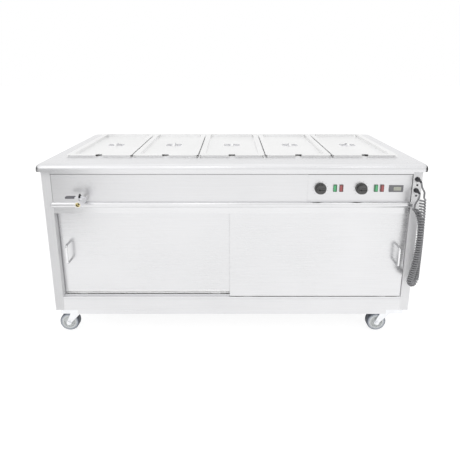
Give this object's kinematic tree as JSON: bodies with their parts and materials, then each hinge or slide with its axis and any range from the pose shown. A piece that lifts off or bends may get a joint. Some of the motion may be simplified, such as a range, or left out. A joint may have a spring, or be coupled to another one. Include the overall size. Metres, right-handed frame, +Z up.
{
  "type": "mobile servery",
  "caption": "Mobile heated servery in stainless steel: a row of lidded pans over a hot cupboard with sliding doors, on swivel castors.",
  "frame": {"origin": "on the floor, in the middle of the outline, tap included", "axes": "+X along the counter to the right as seen from the control side, +Y from the control side to the back, +Z up"},
  "size_m": [1.814, 0.7516, 0.9584],
  "materials": {
    "stainless": "brushed stainless steel",
    "inner_steel": "plain stainless sheet",
    "zinc": "bright zinc plate",
    "handle_chrome": "polished",
    "brass": "nickel-plated brass, bare at the outlet",
    "knob_plastic": "satin black",
    "grip_vinyl": "dipped vinyl",
    "green_lens": "clear coloured lens",
    "red_lens": "clear coloured lens",
    "display_case": "moulded",
    "display_glass": "liquid crystal window",
    "element_sheath": "heat-blued sheath",
    "thermostat_case": "moulded",
    "gland_plastic": "black nylon",
    "cord_rubber": "satin black",
    "wheel_centre": "light grey",
    "tyre_rubber": "grey-black"
  },
  "bodies": {
    "cabinet": {"deck_top": "stainless", "well_tank": "inner_steel", "pan_support_bars": "inner_steel", "front_posts": "stainless", "top_rail": "stainless", "end_panels": "stainless", "back_panel": "stainless", "cupboard_floor": "inner_steel", "plinth_rail": "stainless", "door_head_rail": "stainless", "fascia_panel": "stainless", "control_panel": "stainless", "middle_shelf": "inner_steel", "shelf_brackets": "inner_steel", "well_element": "element_sheath", "cupboard_element": "element_sheath", "thermostats": "thermostat_case", "green_lamps": "green_lens", "red_lamps": "red_lens", "display_bezel": "display_case", "display_window": "display_glass", "drain_pipe": "brass", "tap_body": "brass", "base_channels": "stainless", "castor_pads": "zinc", "castor_plates": "zinc", "cable_glands": "gland_plastic", "cord_tail_upper": "cord_rubber", "curly_cord": "cord_rubber", "cord_tail_lower": "cord_rubber"},
    "left_door": {"left_door": "stainless", "left_door_handle": "handle_chrome"},
    "right_door": {"right_door": "stainless", "right_door_handle": "handle_chrome"},
    "well_knob": {"well_knob": "knob_plastic"},
    "cupboard_knob": {"cupboard_knob": "knob_plastic"},
    "tap_lever": {"tap_lever": "zinc", "tap_grip": "grip_vinyl"},
    "castor_front_left": {"fork_front_left": "zinc"},
    "castor_wheel_front_left": {"wheel_front_left": "wheel_centre", "tyre_front_left": "tyre_rubber"},
    "castor_back_left": {"fork_back_left": "zinc"},
    "castor_wheel_back_left": {"wheel_back_left": "wheel_centre", "tyre_back_left": "tyre_rubber"},
    "castor_front_right": {"fork_front_right": "zinc"},
    "castor_wheel_front_right": {"wheel_front_right": "wheel_centre", "tyre_front_right": "tyre_rubber"},
    "castor_back_right": {"fork_back_right": "zinc"},
    "castor_wheel_back_right": {"wheel_back_right": "wheel_centre", "tyre_back_right": "tyre_rubber"},
    "pan_1": {"pan_1": "stainless"},
    "lid_1": {"lid_1": "stainless"},
    "pan_2": {"pan_2": "stainless"},
    "lid_2": {"lid_2": "stainless"},
    "pan_3": {"pan_3": "stainless"},
    "lid_3": {"lid_3": "stainless"},
    "pan_4": {"pan_4": "stainless"},
    "lid_4": {"lid_4": "stainless"},
    "pan_5": {"pan_5": "stainless"},
    "lid_5": {"lid_5": "stainless"}
  },
  "joints": [
    {"name": "left_door_slide", "type": "slide", "parent": "cabinet", "child": "left_door", "axis": [1, 0, 0], "range_m": [0, 0.74]},
    {"name": "right_door_slide", "type": "slide", "parent": "cabinet", "child": "right_door", "axis": [1, 0, 0], "range_m": [-0.74, 0]},
    {"name": "well_knob_turn", "type": "hinge", "parent": "cabinet", "child": "well_knob", "pos_m": [0.412, -0.2975, 0.8275], "axis": [0, 1, 0], "range_deg": [0, 270]},
    {"name": "cupboard_knob_turn", "type": "hinge", "parent": "cabinet", "child": "cupboard_knob", "pos_m": [0.602, -0.2975, 0.8275], "axis": [0, 1, 0], "range_deg": [0, 270]},
    {"name": "tap_lever_turn", "type": "hinge", "parent": "cabinet", "child": "tap_lever", "pos_m": [-0.687, -0.347, 0.802], "axis": [0, 0, 1], "range_deg": [0, 90]},
    {"name": "swivel_front_left", "type": "hinge", "parent": "cabinet", "child": "castor_front_left", "pos_m": [-0.816, -0.2065, 0.12], "axis": [0, 0, 1], "continuous": true},
    {"name": "wheel_front_left_roll", "type": "hinge", "parent": "castor_front_left", "child": "castor_wheel_front_left", "pos_m": [-0.864, -0.2065, 0.05], "axis": [0, 1, 0], "continuous": true},
    {"name": "swivel_back_left", "type": "hinge", "parent": "cabinet", "child": "castor_back_left", "pos_m": [-0.816, 0.2575, 0.12], "axis": [0, 0, 1], "continuous": true},
    {"name": "wheel_back_left_roll", "type": "hinge", "parent": "castor_back_left", "child": "castor_wheel_back_left", "pos_m": [-0.864, 0.2575, 0.05], "axis": [0, 1, 0], "continuous": true},
    {"name": "swivel_front_right", "type": "hinge", "parent": "cabinet", "child": "castor_front_right", "pos_m": [0.816, -0.2065, 0.12], "axis": [0, 0, 1], "continuous": true},
    {"name": "wheel_front_right_roll", "type": "hinge", "parent": "castor_front_right", "child": "castor_wheel_front_right", "pos_m": [0.768, -0.2065, 0.05], "axis": [0, 1, 0], "continuous": true},
    {"name": "swivel_back_right", "type": "hinge", "parent": "cabinet", "child": "castor_back_right", "pos_m": [0.816, 0.2575, 0.12], "axis": [0, 0, 1], "continuous": true},
    {"name": "wheel_back_right_roll", "type": "hinge", "parent": "castor_back_right", "child": "castor_wheel_back_right", "pos_m": [0.768, 0.2575, 0.05], "axis": [0, 1, 0], "continuous": true},
    {"name": "pan_1_lift", "type": "slide", "parent": "cabinet", "child": "pan_1", "axis": [0, 0, 1], "range_m": [0, 0.22]},
    {"name": "lid_1_lift", "type": "slide", "parent": "pan_1", "child": "lid_1", "axis": [0, 0, 1], "range_m": [0, 0.18]},
    {"name": "pan_2_lift", "type": "slide", "parent": "cabinet", "child": "pan_2", "axis": [0, 0, 1], "range_m": [0, 0.22]},
    {"name": "lid_2_lift", "type": "slide", "parent": "pan_2", "child": "lid_2", "axis": [0, 0, 1], "range_m": [0, 0.18]},
    {"name": "pan_3_lift", "type": "slide", "parent": "cabinet", "child": "pan_3", "axis": [0, 0, 1], "range_m": [0, 0.22]},
    {"name": "lid_3_lift", "type": "slide", "parent": "pan_3", "child": "lid_3", "axis": [0, 0, 1], "range_m": [0, 0.18]},
    {"name": "pan_4_lift", "type": "slide", "parent": "cabinet", "child": "pan_4", "axis": [0, 0, 1], "range_m": [0, 0.22]},
    {"name": "lid_4_lift", "type": "slide", "parent": "pan_4", "child": "lid_4", "axis": [0, 0, 1], "range_m": [0, 0.18]},
    {"name": "pan_5_lift", "type": "slide", "parent": "cabinet", "child": "pan_5", "axis": [0, 0, 1], "range_m": [0, 0.22]},
    {"name": "lid_5_lift", "type": "slide", "parent": "pan_5", "child": "lid_5", "axis": [0, 0, 1], "range_m": [0, 0.18]}
  ]
}
